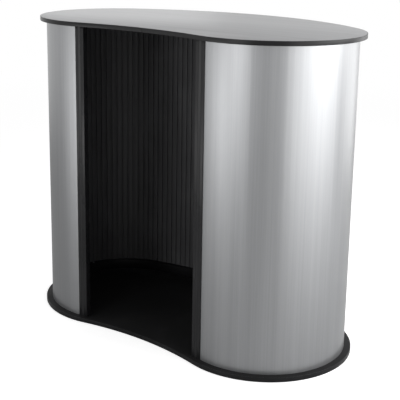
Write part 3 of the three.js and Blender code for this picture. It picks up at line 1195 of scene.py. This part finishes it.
@dataclass
class Posts(Assembly):
    """The two slotted posts with their foot bolts and locating pins."""

    wall: float = 0.002
    chamber: float = 0.011
    corner: float = 0.0015
    edge: float = 0.0003
    groove: float = 0.0012
    groove_depth: float = 0.0007
    groove_spacing: float = 0.011
    bolt: float = 0.003
    bolt_head: float = 0.006
    bolt_head_depth: float = 0.0032
    bolt_reach: float = 0.045
    bolt_tip: float = 0.003
    bolt_tip_share: float = 0.5
    bolt_edge: float = 0.0002
    socket: float = 0.0023
    socket_depth: float = 0.0022
    socket_sides: int = 6
    pin_reach: float = 0.030
    pin_rise: float = 0.008
    pin_chamfer: float = 0.001
    slot_back: float = -0.0073
    slot_front: float = 0.0012
    through: float = 2
    slot_through: float = 3

    def shell(self, side: Side) -> Workpiece:
        """A post's extrusion with its grooves, chamber and port.

        Args:
            side: which post.

        Returns:
            The extrusion round the origin, its face at y nought.
        """
        foot, head = HEIGHTS.stand_foot, HEIGHTS.stand_head
        width, depth = PLAN.post_width, PLAN.post_depth
        middle = (foot + head) / 2
        size = (width, depth, head - foot)
        piece = Workpiece(f"{side.name.lower()}_post_shell", Stock.BLOCK, size, (0, depth / 2, middle))
        piece.pick_edges(upright)
        piece.bevel(self.corner, 4)
        for line in (-self.groove_spacing / 2, self.groove_spacing / 2):
            for step in (-self.groove / 2, 0, self.groove / 2):
                piece.pick_all()
                bpy.ops.mesh.bisect(plane_co=(line + step, 0, 0), plane_no=(1, 0, 0))
            piece.pick(lambda at, line=line: abs(at.x - line) < NEAR and at.y < NEAR)
            bpy.ops.transform.translate(value=(0, self.groove_depth, 0))
        near = -side.value * (width / 2 - self.wall)
        far = near + side.value * self.chamber
        size = (self.chamber, depth - 2 * self.wall, self.through)
        hollow = Workpiece("hollow", Stock.BLOCK, size, ((near + far) / 2, depth / 2, middle))
        size = (self.bolt + HEIGHTS.fit, 0, self.through)
        spot = (side.value * PLAN.port_offset, depth / 2, middle)
        port = Workpiece("port", Stock.ROUND, size, spot, HOLE_SIDES)
        piece.cut([hollow, port])
        return piece

    def slot(self, side: Side, line: list[Vector]) -> Workpiece:
        """The cutter for the slot that takes the wrap's end.

        Args:
            side: which post.
            line: the wrap's kerf lines, this post's end first.

        Returns:
            The cutter, in place.
        """
        along = (line[1] - line[0]).normalized()
        out = Vector((along.y, -along.x, 0)) * side.value
        back, front = self.slot_back, self.slot_front
        reach, fit = PLAN.post_width, HEIGHTS.fit
        cutter = Workpiece("slot", Stock.BLOCK, (reach + fit, front - back, self.slot_through), (0, 0, 0))
        spot = line[0] + along * (reach - fit) / 2 + out * (front + back) / 2
        cutter.place(shift(*spot) @ frame_of(along, out, along.cross(out)))
        cutter.straighten()
        return cutter

    def foot_bolt(self, side: Side) -> Workpiece:
        """A countersunk bolt with a hexagon socket, head down.

        Args:
            side: which post it holds.

        Returns:
            The bolt, in place.
        """
        name = f"{side.name.lower()}_bolt"
        deep = self.bolt_head_depth
        piece = Workpiece(name, Stock.ROUND, (self.bolt_head, 0, deep), (0, 0, deep / 2))
        piece.pick(lambda at: at.z > deep / 2)
        piece.narrow(self.bolt / self.bolt_head)
        piece.draw_out((0, 0, HEIGHTS.panel + HEIGHTS.fit + self.bolt_reach - deep - self.bolt_tip))
        piece.draw_out((0, 0, self.bolt_tip))
        piece.narrow(self.bolt_tip_share)
        piece.straighten()
        size = (self.socket, 0, 2 * self.socket_depth)
        piece.cut([Workpiece("socket", Stock.ROUND, size, (0, 0, 0), self.socket_sides)])
        piece.ease(self.bolt_edge)
        piece.place(shift(*PLAN.port(side).xy, HEIGHTS.pad))
        piece.smooth()
        return piece

    def pin(self, side: Side) -> Workpiece:
        """A dowel pin with a chamfered tip.

        Args:
            side: which post it stands in.

        Returns:
            The pin, in place.
        """
        foot = HEIGHTS.stand_head - self.pin_reach
        length = self.pin_reach + HEIGHTS.fit + HEIGHTS.laminate + HEIGHTS.glue + self.pin_rise
        spot = PLAN.port(side)
        name = f"{side.name.lower()}_pin"
        piece = Workpiece(name, Stock.ROUND, (self.bolt, 0, length), (*spot.xy, foot + length / 2))
        tip = foot + length - NEAR
        piece.pick_edges(lambda a, b: a.z > tip and b.z > tip)
        piece.bevel(self.pin_chamfer, 3)
        piece.smooth()
        return piece

    def build(self, line: list[Vector]) -> None:
        """Builds both posts.

        Args:
            line: the wrap's kerf lines, from the right end to the left end.
        """
        for side in Side:
            name = side.name.lower()
            post = self.shell(side)
            post.place(PLAN.post(side).matrix())
            post.cut([self.slot(side, line if side is Side.RIGHT else line[::-1])])
            post.ease(self.edge)
            post.smooth(30)
            self.hang(post, Finishes.post, f"{name}_post")
            self.hang(self.foot_bolt(side), Finishes.steel, f"{name}_foot_bolt")
            self.hang(self.pin(side), Finishes.steel, f"{name}_locating_pin")


@dataclass
class Pads(Assembly):
    """Ribbed rubber pads under the base."""

    radius: float = 0.015
    sides: int = 40
    thickness: float = 0.0019
    inset: float = 0.048
    back_spacing: float = 0.330
    rib: float = 0.0025
    groove: float = 0.0015
    rib_depth: float = 0.0004
    rib_slope: float = 0.0002
    edge: float = 0.0002

    def places(self) -> list[Vector]:
        """Spreads the pads under the lobes and the back.

        Returns:
            Their places in plan.
        """
        reach = PLAN.lobe_radius - self.inset
        back = PLAN.bulge_radius - self.inset
        angle = math.asin(self.back_spacing / 2 / back)
        places = []
        for side in (1, -1):
            places.append(Vector((side * (PLAN.lobe_x + reach), PLAN.lobe_y, 0)))
            places.append(Vector((side * PLAN.lobe_x, PLAN.lobe_y - reach, 0)))
            places.append(Vector((side * back * math.sin(angle), PLAN.bulge_y + back * math.cos(angle), 0)))
        return places

    def build(self) -> None:
        """Builds one pad and sets its copies."""
        size = (self.radius, 0, self.thickness)
        first = Workpiece("pad_1", Stock.ROUND, size, (0, 0, self.thickness / 2), self.sides)
        first.pick(lambda at: at.z < NEAR)
        for width, rise in ((self.rib, -self.rib_depth), (self.groove, self.rib_depth)) * 2:
            bpy.ops.mesh.inset(thickness=width, depth=0)
            bpy.ops.mesh.inset(thickness=self.rib_slope, depth=rise)
        first.ease(self.edge, angle=60)
        first.smooth()
        self.hang_row(first, [shift(*place) for place in self.places()], Finishes.pad, "base_pad")


# Studio


def set_up(name: str, data: Union[bpy.types.Light, bpy.types.Camera]) -> bpy.types.Object:
    """Puts a light or a camera in the scene.

    Args:
        name: its name.
        data: the light or the camera.

    Returns:
        Its object.
    """
    thing = bpy.data.objects.new(name, data)
    bpy.context.scene.collection.objects.link(thing)
    return thing


@dataclass(frozen=True)
class SoftBox:
    """A soft box that stands upright beside the counter and faces the line up its middle.

    Its azimuth is in degrees round from +X towards +Y, its size is its width and height, its power in
    watts.
    """

    name: str
    azimuth: float
    height: float
    size: tuple[float, float]
    power: float
    distance: float = 2.6

    def hang(self) -> None:
        """Hangs the light."""
        lamp = bpy.data.lights.new(self.name, "AREA")
        lamp.shape = "RECTANGLE"
        lamp.size, lamp.size_y = self.size
        lamp.energy = self.power
        thing = set_up(self.name, lamp)
        angle = math.radians(self.azimuth)
        spot = Vector((self.distance * math.cos(angle), self.distance * math.sin(angle), self.height))
        thing.location = spot
        thing.rotation_euler = (Vector((0, 0, self.height)) - spot).to_track_quat("-Z", "Y").to_euler()


@dataclass(frozen=True)
class Camera:
    """The camera, in metres, radians and pixels of the picture."""

    place: tuple[float, float, float] = (1.9141, -2.3629, 1.2973)
    yaw: float = -0.6822
    pitch: float = 0.2388
    roll: float = 0.0158
    focal: float = 947.3
    picture: float = 400
    sensor: float = 36
    shift_up: float = -0.11

    def hang(self) -> None:
        """Makes the camera and hands it to the scene."""
        level = math.cos(self.pitch)
        ahead = Vector((math.sin(self.yaw) * level, math.cos(self.yaw) * level, -math.sin(self.pitch)))
        right = Vector((math.cos(self.yaw), -math.sin(self.yaw), 0))
        up = right.cross(ahead)
        across = right * math.cos(self.roll) + up * math.sin(self.roll)
        above = up * math.cos(self.roll) - right * math.sin(self.roll)
        made = bpy.data.cameras.new("camera")
        made.sensor_width = self.sensor
        made.lens = self.focal / self.picture * self.sensor
        made.shift_y = self.shift_up
        made.clip_end = 100
        thing = set_up("camera", made)
        thing.matrix_world = shift(*self.place) @ frame_of(across, above, -ahead)
        bpy.context.scene.camera = thing


@dataclass(frozen=True)
class Studio:
    """Plain pale floor, white surroundings and soft boxes."""

    boxes: tuple[SoftBox, ...] = (
        SoftBox("foot_left_box", -130, 0.35, (0.9, 0.6), 2),
        SoftBox("foot_front_box", -112, 0.35, (0.9, 0.6), 6),
        SoftBox("front_box", -88, 0.9, (1.0, 1.5), 12),
        SoftBox("front_right_box", -20, 0.8, (0.9, 1.5), 10),
        SoftBox("right_box", 19, 1.5, (2.4, 1.5), 45),
        SoftBox("low_right_box", 12, 0.65, (2.0, 1.2), 22),
        SoftBox("back_right_box", 62, 0.7, (1.4, 1.3), 12),
        SoftBox("back_box", 140, 1.6, (1.2, 0.8), 2.4),
    )
    surround: float = 0.25
    floor_size: float = 60
    floor_tone: float = 0.8
    lift: float = 0.75
    mirrored_lift: float = 0.08
    white: float = 1.0
    near: float = 2.2
    far: float = 5.5

    def seen(self, graph: Graph, direct: float, mirrored: float) -> Value:
        """How strongly the background shows.

        Args:
            graph: the graph that asks.
            direct: level for the camera's rays.
            mirrored: level for rays off metal and through glass.

        Returns:
            The level, nought for every other ray.
        """
        camera, gloss, glass = (graph.node("ShaderNodeLightPath", out=name)
                                for name in ("Is Camera Ray", "Is Glossy Ray", "Is Transmission Ray"))
        return (camera * direct).most(gloss.most(glass) * mirrored)

    def surroundings(self, graph: Graph) -> Value:
        """Level of the white surroundings, for every ray."""
        return self.seen(graph, self.white, self.white).most(self.surround)

    def build(self) -> None:
        """Sets up the world, the floor, the lights and the view settings."""
        scene = bpy.context.scene
        scene.view_settings.view_transform = "Standard"
        scene.world = bpy.data.worlds.new("surround")
        scene.world.use_nodes = True
        graph = Graph(scene.world.node_tree)
        strength = self.surroundings(graph)
        light = graph.node("ShaderNodeBackground", {}, {"Color": (1, 1, 1, 1), "Strength": strength})
        graph.node("ShaderNodeOutputWorld", {}, {"Surface": light})
        clear_selection()
        bpy.ops.mesh.primitive_plane_add(size=self.floor_size, location=(0, 0, 0))
        floor = bpy.context.object
        floor.name = "floor"
        floor.data.materials.append(self.floor_material())
        for box in self.boxes:
            box.hang()

    def floor_material(self) -> bpy.types.Material:
        """Pale floor near the counter, that turns as white as the surroundings further off.

        Returns:
            The material.
        """
        made = bpy.data.materials.new("pale_floor")
        made.use_nodes = True
        graph = Graph(made.node_tree)
        place = graph.node("ShaderNodeTexCoord", out="Object")
        distance = graph.node("ShaderNodeVectorMath", {"operation": "LENGTH"}, {0: place}, out="Value")
        far = graph.ramp(distance, self.near, self.far)
        matt = graph.node("ShaderNodeBsdfDiffuse", {}, {"Color": (self.floor_tone,) * 3 + (1,)})
        glow = self.emission(graph, self.seen(graph, self.lift, self.mirrored_lift))
        near_floor = graph.node("ShaderNodeAddShader", {}, {0: matt, 1: glow})
        white = self.emission(graph, self.surroundings(graph))
        mix = graph.node("ShaderNodeMixShader", {}, {0: far, 1: near_floor, 2: white})
        graph.node("ShaderNodeOutputMaterial", {}, {"Surface": mix})
        return made

    @staticmethod
    def emission(graph: Graph, level: Value) -> Value:
        """White light given off at a level."""
        return graph.node("ShaderNodeEmission", {}, {"Color": (1, 1, 1, 1), "Strength": level})


def main() -> None:
    """Builds the counter and its studio in order."""
    logging.basicConfig(level=logging.INFO, format="%(name)s: %(message)s")
    Camera().hang()
    Studio().build()
    rail = Rail("base")
    screw_holes = tuple((place, Rail.shank + HEIGHTS.fit) for place in rail.screw_places())
    bolt_holes = tuple((PLAN.port(side), Posts.bolt + HEIGHTS.fit) for side in Side)
    Panel("base", holes=screw_holes + bolt_holes).build()
    rail.build()
    Pads("base").build()
    wrap = Wrap("base")
    wrap.build()
    Posts("base").build(wrap.points())
    Panel("worktop", foot=HEIGHTS.worktop_foot, face=Finishes.worktop).build()
    Rail("worktop", face=HEIGHTS.worktop_foot - HEIGHTS.glue, up=False).build()
    clear_selection()


if __name__ == "__main__":
    main()
